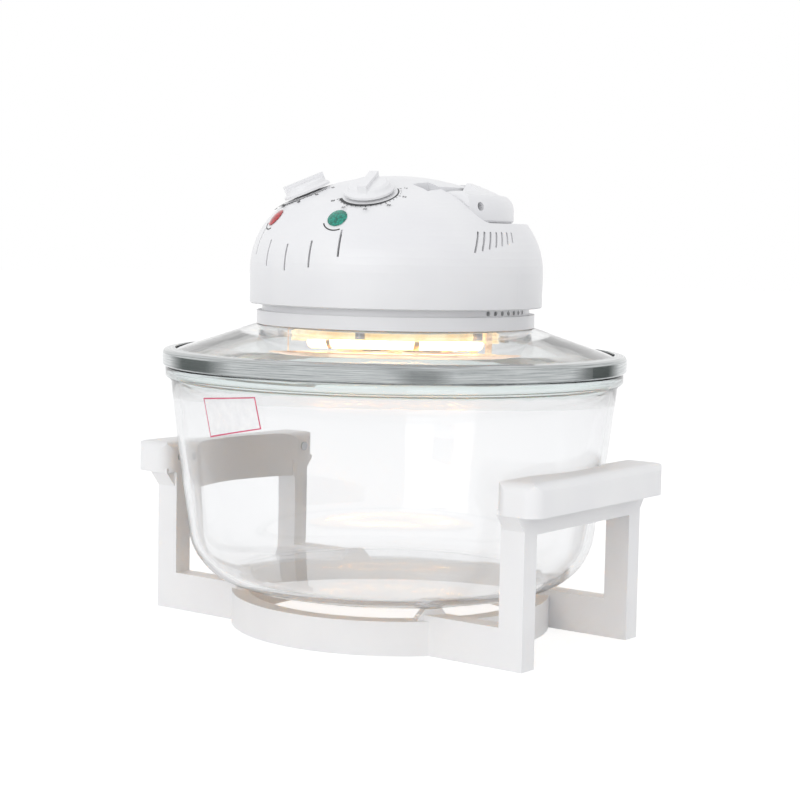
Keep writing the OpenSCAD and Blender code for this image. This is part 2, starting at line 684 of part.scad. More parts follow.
module carry_handle() color(white) in_head() difference() {
  union() {
    // Behind the pivot, low enough near it to swing past the crown
    intersection() {
      bow_profile();
      translate([-bow_r - 1, 0, pivot_z]) rotate([90, 0, 90]) linear_extrude(2 * bow_r + 2)
        polygon([[0, -ear_r], [bow_r, -ear_r], [bow_r, 3 * ear_r], [ear_r + 24, 3 * ear_r], [ear_r + 2, ear_r], [0, ear_r]]);
    }
    intersection() {
      bow_profile();
      translate([-bow_r - 1, 0, pivot_z]) rotate([0, 90, 0]) cylinder(r = ear_r, h = 2 * bow_r + 2);
    }
  }
  translate([-bow_r - 1, 0, pivot_z]) rotate([0, 90, 0]) cylinder(r = pin_r + run_gap, h = 2 * bow_r + 2, $fn = 48);
  // Hollow under the grip for the fingers
  intersection() {
    washer(bow_r - 4, bow_r - bow_w + 4, pivot_z - ear_r - 1, 12);
    translate([-40, 50, pivot_z - ear_r - 1]) cube([80, 60, 12]);
  }
}

pin_in = bow_r - bow_w - bow_swing - cover_wall;

module pivot_pins() color("silver") in_head() for (s = [0, 1]) mirror([s, 0, 0]) translate([0, 0, pivot_z]) rotate([0, 90, 0]) {
  translate([0, 0, pin_in - 0.6]) cylinder(r = pin_r, h = bow_w, $fn = 48);
  translate([0, 0, pin_in - 2]) cylinder(r = pin_r + 1.5, h = 1.5, $fn = 48);
}

// Safety switch: the folded bow holds its plunger down
switch_z = shelf_z - cover_wall - 16;
switch_h = 11;
plunger_head = 7;

module at_switch() in_head() translate([plunger_x, plunger_y, 0]) children();

module safety_switch() color("black") at_switch() difference() {
  union() {
    translate([-11, -5, switch_z]) cube([22, 10, switch_h]);
    for (s = [-1, 1]) translate([s * 9.5 - 1.5, -5, switch_z]) cube([3, 10, 15.8]);
  }
  translate([0, 0, switch_z + 3]) cylinder(r = 2.2, h = switch_h, $fn = 32);
}

module switch_plunger() color("gold") at_switch() {
  translate([0, 0, switch_z + 4]) cylinder(r = 1.9, h = 12, $fn = 48);
  translate([0, 0, shelf_z + handle_gap - 0.3 - plunger_head]) cylinder(r = plunger_r, h = plunger_head, $fn = 48);
}

module plunger_spring() color("silver") at_switch() translate([0, 0, switch_z + switch_h + 0.1]) difference() {
  cylinder(r = 3.1, h = shelf_z + handle_gap - 0.3 - plunger_head - switch_z - switch_h - 0.2, $fn = 48);
  translate([0, 0, -1]) cylinder(r = 2.2, h = 12, $fn = 48);
}

module cover_screws() color("silver") in_head() for (a = [45:90:315]) rotate([0, 0, a]) translate([column_r, 0, 0]) {
  translate([0, 0, floor_z - 1.8]) cylinder(r = 3, h = 1.8, $fn = 32);
  translate([0, 0, floor_z - 1]) cylinder(r = screw_r, h = 15, $fn = 32);
}

base_ring();
left_stand_handle();
right_stand_handle();
stand_screws();
glass_bowl();
lid_glass();
lid_rim_band();
lid_seal();
clamp_ring();
head_base();
head_cover();
cable_gland();
power_lamp();
heat_lamp();
timer_body();
thermostat_body();
heat_shield();
mica_disc();
reflector();
halogen_tube();
lamp_filament();
lamp_end_caps();
lamp_clips();
heater_guard();
motor_stator();
motor_coil();
motor_bracket();
motor_screws();
terminal_block();
safety_switch();
clamp_screws();
cover_screws();
guard_screws();
motor_rotor();
fan_shaft();
cooling_fan();
convection_fan();
fan_nut();
timer_knob();
timer_shaft();
thermostat_knob();
thermostat_shaft();
carry_handle();
pivot_pins();
switch_plunger();
plunger_spring();
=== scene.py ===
import math
import bmesh
import bpy
from mathutils import Matrix, Vector


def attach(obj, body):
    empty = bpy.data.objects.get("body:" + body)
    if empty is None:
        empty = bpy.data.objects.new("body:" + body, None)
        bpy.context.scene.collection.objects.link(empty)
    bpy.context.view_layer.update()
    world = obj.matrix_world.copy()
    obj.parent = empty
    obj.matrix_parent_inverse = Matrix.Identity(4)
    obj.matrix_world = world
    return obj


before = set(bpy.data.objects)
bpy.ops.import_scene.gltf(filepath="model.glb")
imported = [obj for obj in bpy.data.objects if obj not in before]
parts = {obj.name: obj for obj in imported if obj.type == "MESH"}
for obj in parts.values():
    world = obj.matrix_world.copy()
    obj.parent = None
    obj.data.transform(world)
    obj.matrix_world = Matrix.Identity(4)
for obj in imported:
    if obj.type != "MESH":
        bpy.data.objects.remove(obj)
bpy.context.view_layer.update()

# Halogen oven: a clear bowl in a white stand, under a glass lid with a white domed head.
# The CAD nodes keep their shapes and get their finishes here; ink, film and small relief are added.
# Lengths are in metres, except where a name ends in Mm.
mm = 0.001


def linear(code, alpha=1.0):
    channels = [int(code[i:i + 2], 16) / 255 for i in (1, 3, 5)]
    return tuple(c / 12.92 if c <= 0.04045 else ((c + 0.055) / 1.055) ** 2.4 for c in channels) + (alpha,)


def addNode(tree, kind, sockets=(), **settings):
    node = tree.nodes.new(kind)
    for key, value in settings.items():
        setattr(node, key, value)
    for key, value in dict(sockets).items():
        if isinstance(value, bpy.types.NodeSocket):
            tree.links.new(value, node.inputs[key])
        else:
            node.inputs[key].default_value = value
    return node


def newMaterial(name):
    material = bpy.data.materials.new(name)
    material.use_nodes = True
    tree = material.node_tree
    tree.nodes.clear()
    tree.nodes.new("ShaderNodeOutputMaterial")
    return material, tree


def output(tree):
    return next(n for n in tree.nodes if n.type == "OUTPUT_MATERIAL")


def objectAxes(tree):
    # X, Y and Z of a point in the piece's own space, in metres
    place = addNode(tree, "ShaderNodeTexCoord").outputs["Object"]
    return addNode(tree, "ShaderNodeSeparateXYZ", {"Vector": place}).outputs


def spread(tree, pattern, low, high, start=0.3, end=0.7):
    # Turns a pattern's levels from start to end into a run from low to high, of hex colours or of plain values
    node = addNode(tree, "ShaderNodeValToRGB", {"Fac": pattern})
    for element, level, value in zip(node.color_ramp.elements, (start, end), (low, high)):
        element.position = level
        element.color = linear(value) if isinstance(value, str) else (value, value, value, 1)
    return node.outputs["Color"]


def grain(tree, sizeMm, detail=2.0, roughness=0.5):
    place = addNode(tree, "ShaderNodeTexCoord").outputs["Object"]
    return addNode(tree, "ShaderNodeTexNoise", {"Vector": place, "Scale": 1 / (sizeMm * mm), "Detail": detail,
                                                "Roughness": roughness}).outputs["Fac"]


def wayRound(tree, axes, ringMm):
    # Way round the Z axis, in metres along a ring of that radius
    turn = addNode(tree, "ShaderNodeMath", {0: axes["Y"], 1: axes["X"]}, operation="ARCTAN2").outputs[0]
    return addNode(tree, "ShaderNodeMath", {0: turn, 1: ringMm * mm}, operation="MULTIPLY").outputs[0]


def ringStreaks(tree, ringMm, streakMm, stretch, roughness):
    # Noise drawn out round the Z axis, as spinning and polishing leave it
    axes = objectAxes(tree)
    flat = addNode(tree, "ShaderNodeCombineXYZ", {"X": axes["X"], "Y": axes["Y"]}).outputs[0]
    out = addNode(tree, "ShaderNodeVectorMath", {0: flat}, operation="LENGTH").outputs["Value"]
    place = addNode(tree, "ShaderNodeCombineXYZ", {"X": wayRound(tree, axes, ringMm), "Y": axes["Z"],
                                                   "Z": out}).outputs[0]
    lines = addNode(tree, "ShaderNodeMapping", {"Vector": place, "Scale": (stretch, 1, 1)}).outputs[0]
    return addNode(tree, "ShaderNodeTexNoise", {"Vector": lines, "Scale": 1 / (streakMm * mm), "Detail": 3.0,
                                                "Roughness": roughness}).outputs["Fac"]


def ridges(tree, place, pitchMm):
    # Even rounded ridges, one for each pitch along a place in metres
    phase = addNode(tree, "ShaderNodeMath", {0: place, 1: math.pi / (pitchMm * mm)}, operation="MULTIPLY")
    wave = addNode(tree, "ShaderNodeMath", {0: phase.outputs[0]}, operation="SINE")
    return addNode(tree, "ShaderNodeMath", {0: wave.outputs[0]}, operation="ABSOLUTE").outputs[0]


def finishShader(tree, relief, depthMm, sockets, reliefShare=1.0):
    # relief is the pattern that stands up from the surface by up to depthMm
    raised = addNode(tree, "ShaderNodeBump", {"Height": relief, "Distance": depthMm * mm, "Strength": reliefShare})
    shader = addNode(tree, "ShaderNodeBsdfPrincipled", {**sockets, "Normal": raised.outputs["Normal"]})
    tree.links.new(shader.outputs[0], output(tree).inputs["Surface"])
    return shader


def mouldedPlastic(name, light, shade, gloss, grainMm, depthMm, coat=0.0, driftMm=38, sheenMm=26):
    # Injection moulded: an even tone with slow cloudy drift, a fine spark-eroded grain and a soft gloss
    material, tree = newMaterial(name)
    tone = spread(tree, grain(tree, driftMm, 1.5), shade, light)
    rough = spread(tree, grain(tree, sheenMm, 2), gloss - 0.02, gloss + 0.03, 0.25, 0.75)
    finishShader(tree, grain(tree, grainMm, 2.5), depthMm,
                 {"Base Color": tone, "Roughness": rough, "IOR": 1.53, "Coat Weight": coat,
                  "Coat Roughness": 0.12})
    return material


def pressedGlass(name, tint, density, waveMm, depthMm, lip=None):
    # Pressed soda-lime glass: clear face on, grey green where the eye looks along the wall, faint press waves
    material, tree = newMaterial(name)
    shader = finishShader(tree, grain(tree, waveMm, 1.0), depthMm,
                          {"Base Color": linear("#FFFFFF"), "Roughness": 0.0, "IOR": 1.5,
                           "Transmission Weight": 1.0})
    if lip:
        # The thick lip shows more of the glass's own green than the wall does
        level = addNode(tree, "ShaderNodeMath", {0: objectAxes(tree)["Z"], 1: lip["fromMm"] * mm},
                        operation="SUBTRACT").outputs[0]
        share = addNode(tree, "ShaderNodeMath", {0: level, 1: 1 / (lip["overMm"] * mm)},
                        operation="MULTIPLY").outputs[0]
        tree.links.new(spread(tree, share, "#FFFFFF", lip["tint"], 0.0, 1.0), shader.inputs["Base Color"])
    soak = addNode(tree, "ShaderNodeVolumeAbsorption", {"Color": linear(tint), "Density": density})
    tree.links.new(soak.outputs[0], output(tree).inputs["Volume"])
    return material


def spunSteel(name, light, shade, gloss, streakMm, depthMm, ringMm):
    # Rolled and spun: polishing lines that run round the ring, brighter and duller in turn; where the shade tone
    # is dark, as on the lid band, that swing is partly painted reflection.
    # They are drawn coarser than real ones so that they show
    material, tree = newMaterial(name)
    streak = ringStreaks(tree, ringMm, streakMm, 0.012, 0.6)
    finishShader(tree, streak, depthMm,
                 {"Base Color": spread(tree, streak, shade, light), "Metallic": 1.0,
                  "Roughness": spread(tree, streak, gloss + 0.06, gloss - 0.04)})
    return material


def sheetMetal(name, light, shade, gloss, grainMm, depthMm):
    # Plated or bare sheet: cloudy bright and dull spangle over a fine tooth
    material, tree = newMaterial(name)
    cloud = grain(tree, grainMm, 4, 0.6)
    finishShader(tree, grain(tree, grainMm * 0.15, 3), depthMm,
                 {"Base Color": spread(tree, cloud, shade, light), "Metallic": 1.0,
                  "Roughness": spread(tree, cloud, gloss - 0.06, gloss + 0.08, 0.25, 0.75)})
    return material


def plainSolid(name, light, shade, gloss, grainMm, depthMm, scatter=0.0):
    # Matt moulded or pressed stuff: a mottled tone with a fine tooth
    material, tree = newMaterial(name)
    tone = spread(tree, grain(tree, grainMm * 6, 4, 0.65), shade, light)
    rough = spread(tree, grain(tree, grainMm * 3, 3), gloss - 0.06, gloss + 0.06, 0.25, 0.75)
    finishShader(tree, grain(tree, grainMm, 3), depthMm,
                 {"Base Color": tone, "Roughness": rough, "IOR": 1.5, "Subsurface Weight": scatter,
                  "Subsurface Scale": 2 * mm})
    return material


def layered(name, light, shade, gloss, layerMm, metallic):
    # Stacked sheets or wound wire: even lines across Z, a different tone in each.
    # They are drawn a little thicker than the real layers so that they show
    material, tree = newMaterial(name)
    height = ridges(tree, objectAxes(tree)["Z"], layerMm)
    finishShader(tree, height, layerMm * 0.4,
                 {"Base Color": spread(tree, height, shade, light, 0.1, 0.6), "Roughness": gloss,
                  "Metallic": metallic})
    return material


def tintedLens(name, face, edge, glow, pebbleMm=1.5):
    # Injection moulded acrylic lens: deep colour, small diffusing pebbles inside and a wet gloss
    material, tree = newMaterial(name)
    place = addNode(tree, "ShaderNodeTexCoord").outputs["Object"]
    cells = addNode(tree, "ShaderNodeTexVoronoi", {"Vector": place, "Scale": 1 / (pebbleMm * mm)})
    pebbles = cells.outputs["Distance"]
    finishShader(tree, pebbles, 0.12,
                 {"Base Color": spread(tree, pebbles, face, edge, 0.1, 0.75), "Roughness": 0.12, "IOR": 1.49,
                  "Coat Weight": 0.4, "Emission Color": linear(face), "Emission Strength": glow}, 0.5)
    return material


def glowing(name, core, rim, strength, coilMm, ringMm):
    # Tungsten coil at work: turns of hot wire with darker gaps
    material, tree = newMaterial(name)
    level = ridges(tree, wayRound(tree, objectAxes(tree), ringMm), coilMm)
    tone = spread(tree, level, rim, core, 0.1, 0.7)
    finishShader(tree, level, 0.4,
                 {"Base Color": tone, "Roughness": 0.5, "Emission Color": tone, "Emission Strength": strength})
    return material


def paintedLampGlow(name, light, shade, strength, metallic=1.0, gloss=0.14, ringMm=76, streakMm=5):
    # A piece close to the burning lamp: long warm streaks of the lamp's light painted on as the piece's own glow
    # (emission), brightest in places
    material, tree = newMaterial(name)
    streak = ringStreaks(tree, ringMm, streakMm, 0.18, 0.55)
    tone = spread(tree, streak, shade, light, 0.35, 0.6)
    finishShader(tree, streak, 0.02,
                 {"Base Color": tone, "Roughness": gloss, "Metallic": metallic, "Emission Color": tone,
                  "Emission Strength": strength})
    return material


def litQuartz(name, light, shade, strength, hazeMm):
    # Fused quartz tube: clear and wet, filled with warm light from the coil
    material, tree = newMaterial(name)
    haze = grain(tree, hazeMm, 2)
    finishShader(tree, haze, 0.05,
                 {"Base Color": linear("#FFFFFF"), "Roughness": 0.03, "IOR": 1.46, "Transmission Weight": 0.8,
                  "Emission Color": spread(tree, haze, shade, light, 0.35, 0.65), "Emission Strength": strength})
    return material


def printedInk(name, colour, worn, speckMm=0.5):
    # Pad printed ink: dense, satin, a little thinner in specks
    material, tree = newMaterial(name)
    speck = grain(tree, speckMm, 2)
    finishShader(tree, speck, 0.01, {"Base Color": spread(tree, speck, colour, worn, 0.2, 0.9), "Roughness": 0.45})
    return material


glossWhite = mouldedPlastic("glossy moulded ABS, white", "#EDEDEE", "#E9E9EB", gloss=0.32, grainMm=0.35,
                            depthMm=0.004, coat=0.08)
standWhite = mouldedPlastic("moulded polypropylene, white", "#F3F3F3", "#EFEFF0", gloss=0.42, grainMm=0.5,
                            depthMm=0.01)
bowlGlass = pressedGlass("pressed glass, bowl", "#B2B5BA", density=26.0, waveMm=60, depthMm=0.05,
                         lip={"fromMm": 180, "overMm": 8, "tint": "#E9F4F1"})
lidGlass = pressedGlass("toughened glass, lid", "#A9BDBD", density=3.0, waveMm=80, depthMm=0.04)
# The band's darker and brighter streak tones are partly real polishing lines and partly painted reflection,
# standing in for darker surroundings mirrored in the polished band
bandSteel = spunSteel("rolled stainless band", "#CDD0D0", "#8C9192", gloss=0.12, streakMm=0.5, depthMm=0.004,
                      ringMm=170)
clampSteel = spunSteel("polished clamp ring", "#EDEBE4", "#D3D0C8", gloss=0.14, streakMm=0.6, depthMm=0.004,
                       ringMm=90)
# Painted lamp glow: the pan, the reflector and the lamp's ceramic end caps glow with the lamp's light painted on
# as emission, though none of them is a lamp
panSteel = paintedLampGlow("bright steel pan in the lamp's light", "#FFE6BE", "#D9A27A", strength=0.5)
reflectorSteel = paintedLampGlow("polished reflector in the lamp's light", "#FFF1CC", "#F2C983", strength=1.0)
ceramicPaintedGlow = paintedLampGlow("steatite ceramic in the lamp's light", "#FFB48A", "#E0603A", strength=0.55,
                         metallic=0.0, gloss=0.6)
quartzGlass = litQuartz("fused quartz tube", "#FFE2A8", "#FFBE66", strength=2.6, hazeMm=14)
hotWire = glowing("hot tungsten coil", "#FFE3A8", "#FF9A3C", strength=16.0, coilMm=1.4, ringMm=60)
zincSteel = sheetMetal("zinc plated steel", "#C4C6C8", "#9B9DA1", gloss=0.34, grainMm=3.0, depthMm=0.01)
aluminium = sheetMetal("pressed aluminium sheet", "#D2D4D6", "#AEB0B4", gloss=0.38, grainMm=4.0, depthMm=0.01)
springSteel = sheetMetal("drawn spring steel", "#A9ABAE", "#77797D", gloss=0.28, grainMm=1.5, depthMm=0.01)
silicone = plainSolid("moulded silicone", "#DDE2E0", "#CFD6D4", gloss=0.55, grainMm=0.6, depthMm=0.02, scatter=0.2)
phenolic = plainSolid("moulded phenolic", "#4A3F38", "#332B26", gloss=0.45, grainMm=0.5, depthMm=0.02)
micaSheet = plainSolid("pressed mica sheet", "#B7A079", "#8E774F", gloss=0.4, grainMm=0.8, depthMm=0.03)
nylon = plainSolid("moulded natural nylon", "#E6E6E1", "#D9D9D2", gloss=0.42, grainMm=0.4, depthMm=0.01,
                   scatter=0.1)
blackNylon = plainSolid("moulded black nylon", "#1D1E20", "#131415", gloss=0.4, grainMm=0.4, depthMm=0.015)
lamination = layered("stacked lamination steel", "#6C6F75", "#35373B", gloss=0.42, layerMm=0.8, metallic=1.0)
windingWire = layered("varnished copper winding", "#B5632E", "#5E2C12", gloss=0.28, layerMm=0.7, metallic=1.0)
redLens = tintedLens("red acrylic lens", "#CF1826", "#8C0D18", glow=0.06)
greenLens = tintedLens("green acrylic lens", "#12A08A", "#086052", glow=0.06)
ink = printedInk("black pad printing", "#141518", "#303236")

finishes = {
    glossWhite: ["head_base", "head_cover", "timer_knob", "thermostat_knob", "carry_handle"],
    standWhite: ["base_ring", "left_stand_handle", "right_stand_handle"],
    bowlGlass: ["glass_bowl"],
    lidGlass: ["lid_glass"],
    bandSteel: ["lid_rim_band"],
    panSteel: ["heater_guard"],
    reflectorSteel: ["reflector"],
    clampSteel: ["clamp_ring"],
    zincSteel: ["stand_screws", "clamp_screws", "cover_screws", "guard_screws", "heat_shield",
                "lamp_clips", "motor_bracket", "motor_screws", "fan_nut", "pivot_pins", "timer_shaft",
                "thermostat_shaft", "fan_shaft"],
    aluminium: ["convection_fan"],
    springSteel: ["plunger_spring"],
    silicone: ["lid_seal"],
    ceramicPaintedGlow: ["lamp_end_caps"],
    phenolic: ["timer_body", "thermostat_body"],
    micaSheet: ["mica_disc"],
    nylon: ["cable_gland", "terminal_block", "cooling_fan", "switch_plunger"],
    blackNylon: ["safety_switch"],
    lamination: ["motor_stator", "motor_rotor"],
    windingWire: ["motor_coil"],
    redLens: ["power_lamp"],
    greenLens: ["heat_lamp"],
    hotWire: ["lamp_filament"],
    quartzGlass: ["halogen_tube"],
}
for material, names in finishes.items():
    for name in names:
        node = parts[name]
        node.data.materials.clear()
        node.data.materials.append(material)

# The turned glass is smooth right round, so the light bends through it without steps
weldMm = 0.02
for name in ("glass_bowl", "lid_glass"):
    parts[name].modifiers.new("joined_faces", "WELD").merge_threshold = weldMm * mm
    even = parts[name].modifiers.new("even_normals", "WEIGHTED_NORMAL")
    even.mode = "FACE_AREA_WITH_ANGLE"
    even.keep_sharp = False
    # Clear glass lets the light through to what stands under it
    parts[name].visible_shadow = False

# Moulded edges are never sharp: a small round on each edge of the plastic pieces, and less on the thin ones
edgeRound = {"segments": 2, "sharperThan": 40,
             "sizeMm": {"base_ring": 0.8, "left_stand_handle": 0.8, "right_stand_handle": 0.8, "timer_knob": 0.3,
                        "thermostat_knob": 0.3, "carry_handle": 0.4, "head_base": 0.25, "head_cover": 0.25,
                        "cable_gland": 0.3, "power_lamp": 0.2, "heat_lamp": 0.2, "stand_screws": 0.15}}
for name, widthMm in edgeRound["sizeMm"].items():
    soft = parts[name].modifiers.new("moulded_edges", "BEVEL")
    soft.width = widthMm * mm
    soft.segments = edgeRound["segments"]
    soft.limit_method = "ANGLE"
    soft.angle_limit = math.radians(edgeRound["sharperThan"])
    soft.use_clamp_overlap = True
    soft.harden_normals = True
print("finishes set on", sum(len(names) for names in finishes.values()), "of", len(parts), "nodes")


# Head: the frame that the dials and lamps are placed in
head = {"turn": -9.5, "crownRadiusMm": 170.0, "crownTopMm": 330.0, "dialAngle": 29.4, "dialOutMm": 67.0,
        "lampAngle": 20.6, "lampOutMm": 94.0, "coverRadiusMm": 107.3, "shoulderRadiusMm": 57.0}


def headFrame():
    return Matrix.Rotation(math.radians(head["turn"]), 4, "Z")


def dialFrame(side):
    # Origin at the crown's centre, with Z out through the dial's middle
    slope = math.asin(head["dialOutMm"] / head["crownRadiusMm"])
    lift = Matrix.Translation((0, 0, (head["crownTopMm"] - head["crownRadiusMm"]) * mm))
    around = Matrix.Rotation(math.radians(side * head["dialAngle"]), 4, "Z")
    return headFrame() @ around @ lift @ Matrix.Rotation(slope, 4, "X")


def addPiece(name, mesh, material, body):
    piece = bpy.data.objects.new(name, mesh)
    bpy.context.scene.collection.objects.link(piece)
    mesh.materials.clear()
    mesh.materials.append(material)
    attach(piece, body)


def slab(bm, quad, base, top):
    # Closed thin box between two sets of four corners
    low = [bm.verts.new(base(x, y)) for x, y in quad]
    high = [bm.verts.new(top(x, y)) for x, y in quad]
    bm.faces.new(high)
    bm.faces.new(low[::-1])
    for i in range(4):
        j = (i + 1) % 4
        bm.faces.new((low[i], low[j], high[j], high[i]))


def polar(radius, angle):
    return radius * math.cos(math.radians(angle)), radius * math.sin(math.radians(angle))


inkLayer = {"lowMm": -0.05, "highMm": 0.06}


def dialPlace(side, lift):
    # Carries a point of the dial's flat drawing, in mm, on to the round crown
    matrix = dialFrame(side)
    radius = head["crownRadiusMm"]

    def place(x, y):
        return matrix @ (Vector((x, y, radius)).normalized() * (radius + lift) * mm)
    return place


def lampPlace(side, lift):
    # The shoulder is round in two ways: its own arc and the turn about Z
    matrix = headFrame()
    inset = head["coverRadiusMm"] - head["shoulderRadiusMm"]
    radius = head["shoulderRadiusMm"]
    slope = math.asin((head["lampOutMm"] - inset) / radius)
    meet = math.asin(inset / (head["crownRadiusMm"] - radius))
    height = head["crownTopMm"] - head["crownRadiusMm"] + (head["crownRadiusMm"] - radius) * math.cos(meet)

    def place(x, y):
        # y runs up the shoulder and x round it
        lean = slope - y / radius
        out = inset + (radius + lift) * math.sin(lean)
        turn = math.radians(side * head["lampAngle"]) + x / head["lampOutMm"]
        point = Vector((out * math.sin(turn), -out * math.cos(turn), height + (radius + lift) * math.cos(lean)))
        return matrix @ (point * mm)
    return place


def arcBand(bm, places, radius, widths, start, end, steps):
    base, top = places
    for i in range(steps):
        quad = []
        for j, w in ((i, -0.5), (i + 1, -0.5), (i + 1, 0.5), (i, 0.5)):
            t = j / steps
            width = widths[0] + (widths[1] - widths[0]) * t
            quad.append(polar(radius + w * width, start + (end - start) * t))
        slab(bm, quad if end < start else quad[::-1], base, top)


def finishMesh(bm, name):
    bmesh.ops.recalc_face_normals(bm, faces=bm.faces)
    mesh = bpy.data.meshes.new(name)
    bm.to_mesh(mesh)
    bm.free()
    return mesh


# Dial scales: a tapered ring, ticks and plain numbers, printed on the crown round each knob
dialPrint = {"ringMm": 20.6, "ringWideMm": 2.3, "ringThinMm": 0.9, "ringStart": 205, "ringEnd": 392,
             "tickInMm": 22.0, "tickOutMm": 23.6, "tickWideMm": 0.5, "numberMm": 26.4, "numberHighMm": 3.2,
             "steps": 60, "ticksPerNumber": 4}
timerScale = {"name": "timer_scale", "side": 1, "numbers": ["60", "50", "40", "30", "20", "10"]}
heatScale = {"name": "temperature_scale", "side": -1, "numbers": ["65", "125", "150", "175", "200", "225", "250"]}


def numberMesh(text, sizeMm):
    curve = bpy.data.curves.new("number", "FONT")
    curve.body = text
    curve.size = sizeMm
    curve.align_x = "CENTER"
    curve.align_y = "CENTER"
    curve.extrude = 0.5
    curve.resolution_u = 2
    holder = bpy.data.objects.new("number", curve)
    bpy.context.scene.collection.objects.link(holder)
    mesh = bpy.data.meshes.new_from_object(holder)
    bpy.data.objects.remove(holder)
    bpy.data.curves.remove(curve)
    return mesh


def dialScale(scale):
    low = dialPlace(scale["side"], inkLayer["lowMm"])
    high = dialPlace(scale["side"], inkLayer["highMm"])
    bm = bmesh.new()
    arcBand(bm, (low, high), dialPrint["ringMm"], (dialPrint["ringWideMm"], dialPrint["ringThinMm"]),
            dialPrint["ringStart"], dialPrint["ringEnd"], dialPrint["steps"])
    sweep = dialPrint["ringEnd"] - dialPrint["ringStart"]
    ticks = dialPrint["ticksPerNumber"] * (len(scale["numbers"]) - 1)
    for i in range(ticks + 1):
        angle = dialPrint["ringStart"] + sweep * i / ticks
        half = math.degrees(dialPrint["tickWideMm"] / dialPrint["tickInMm"] / 2)
        # A full tick at each number and half ones between
        reach = dialPrint["tickOutMm"]
        if i % dialPrint["ticksPerNumber"]:
            reach = (dialPrint["tickInMm"] + dialPrint["tickOutMm"]) / 2
        slab(bm, [polar(dialPrint["tickInMm"], angle - half), polar(reach, angle - half),
                  polar(reach, angle + half), polar(dialPrint["tickInMm"], angle + half)], low, high)
    for i, text in enumerate(scale["numbers"]):
        angle = dialPrint["ringStart"] + sweep * i / (len(scale["numbers"]) - 1)
        x, y = polar(dialPrint["numberMm"], angle)
        flat = numberMesh(text, dialPrint["numberHighMm"])
        for vertex in flat.vertices:
            side = high if vertex.co.z > 0 else low
            vertex.co = side(x + vertex.co.x, y + vertex.co.y)
        bm.from_mesh(flat)
        bpy.data.meshes.remove(flat)
    addPiece(scale["name"], finishMesh(bm, scale["name"]), ink, "lid")


for scale in (timerScale, heatScale):
    dialScale(scale)

# Thin printed arc under each lamp
lampArc = {"radiusMm": 10.2, "wideMm": 0.9, "start": 208, "end": 296, "steps": 20}


def lampLine(name, side):
    bm = bmesh.new()
    arcBand(bm, (lampPlace(side, inkLayer["lowMm"]), lampPlace(side, inkLayer["highMm"])), lampArc["radiusMm"],
            (lampArc["wideMm"], lampArc["wideMm"]), lampArc["start"], lampArc["end"], lampArc["steps"])
    addPiece(name, finishMesh(bm, name), ink, "lid")


lampLine("power_lamp_arc", -1)
lampLine("heat_lamp_arc", 1)
print("dial and lamp printing made")


# Blank clear film on the bowl with a thin rose border; corners are turns from the front and heights
film = {"cornersMm": ((-15.95, 173.3), (2.77, 177.7), (4.08, 156.2), (-14.3, 146.2)), "borderMm": 0.9,
        "wideMm": 53, "highMm": 24, "liftMm": 0.05, "thickMm": 0.12, "steps": 16}
bowlWall = {"lowZMm": 132.0, "lowRadiusMm": 158.5, "highZMm": 180.0, "highRadiusMm": 164.0}


def filmFinish(name, light, shade, alpha, cloudMm=6):
    # Printed polyester film: thin, glossy, a trace milky where it is clear
    material, tree = newMaterial(name)
    cloud = grain(tree, cloudMm, 2)
    finishShader(tree, cloud, 0.01,
                 {"Base Color": spread(tree, cloud, shade, light), "Roughness": 0.18, "Alpha": alpha})
    return material


def filmPoint(u, v, lift):
    # u runs to the right and v down, both from 0 to 1
    (a, b, c, d) = film["cornersMm"]
    turn = (a[0] * (1 - u) + b[0] * u) * (1 - v) + (d[0] * (1 - u) + c[0] * u) * v
    height = (a[1] * (1 - u) + b[1] * u) * (1 - v) + (d[1] * (1 - u) + c[1] * u) * v
    share = (height - bowlWall["lowZMm"]) / (bowlWall["highZMm"] - bowlWall["lowZMm"])
    out = bowlWall["lowRadiusMm"] + (bowlWall["highRadiusMm"] - bowlWall["lowRadiusMm"]) * share + lift
    angle = math.radians(turn)
    return Vector((out * math.sin(angle), -out * math.cos(angle), height)) * mm


def filmPatch(bm, u0, u1, v0, v1):
    steps = max(1, round(film["steps"] * (u1 - u0)))
    for i in range(steps):
        left, right = u0 + (u1 - u0) * i / steps, u0 + (u1 - u0) * (i + 1) / steps
        slab(bm, [(left, v0), (left, v1), (right, v1), (right, v0)],
             lambda u, v: filmPoint(u, v, film["liftMm"]),
             lambda u, v: filmPoint(u, v, film["liftMm"] + film["thickMm"]))


def bowlFilm():
    wide, high = film["borderMm"] / film["wideMm"], film["borderMm"] / film["highMm"]
    clear = bmesh.new()
    filmPatch(clear, wide, 1 - wide, high, 1 - high)
    addPiece("bowl_film", finishMesh(clear, "bowl_film"),
             filmFinish("clear polyester film", "#FFFFFF", "#F4F4F6", 0.3), "bowl")
    edge = bmesh.new()
    filmPatch(edge, 0, 1, 0, high)
    filmPatch(edge, 0, 1, 1 - high, 1)
    filmPatch(edge, 0, wide, high, 1 - high)
    filmPatch(edge, 1 - wide, 1, high, 1 - high)
    addPiece("bowl_film_border", finishMesh(edge, "bowl_film_border"),
             filmFinish("rose printed film edge", "#D65F7C", "#C9486A", 1.0), "bowl")


bowlFilm()
print("bowl film made")


# Stage, camera and light
stageLook = {"floorHalf": 9.0, "floorColour": "#F4F4F4", "cameraMix": 0.6, "cameraWhite": 1.3,
             "surroundColour": (0.98, 0.985, 1.0, 1), "surroundStrength": 0.88}
cameraFit = {"distance": 1.362, "height": 0.286, "pitch": 5.05, "roll": 1.1, "turn": 37.0, "sideways": 0.0044,
             "focalPx": 1850.0, "framePx": 800.0, "sensorMm": 36.0, "near": 0.05, "far": 30}


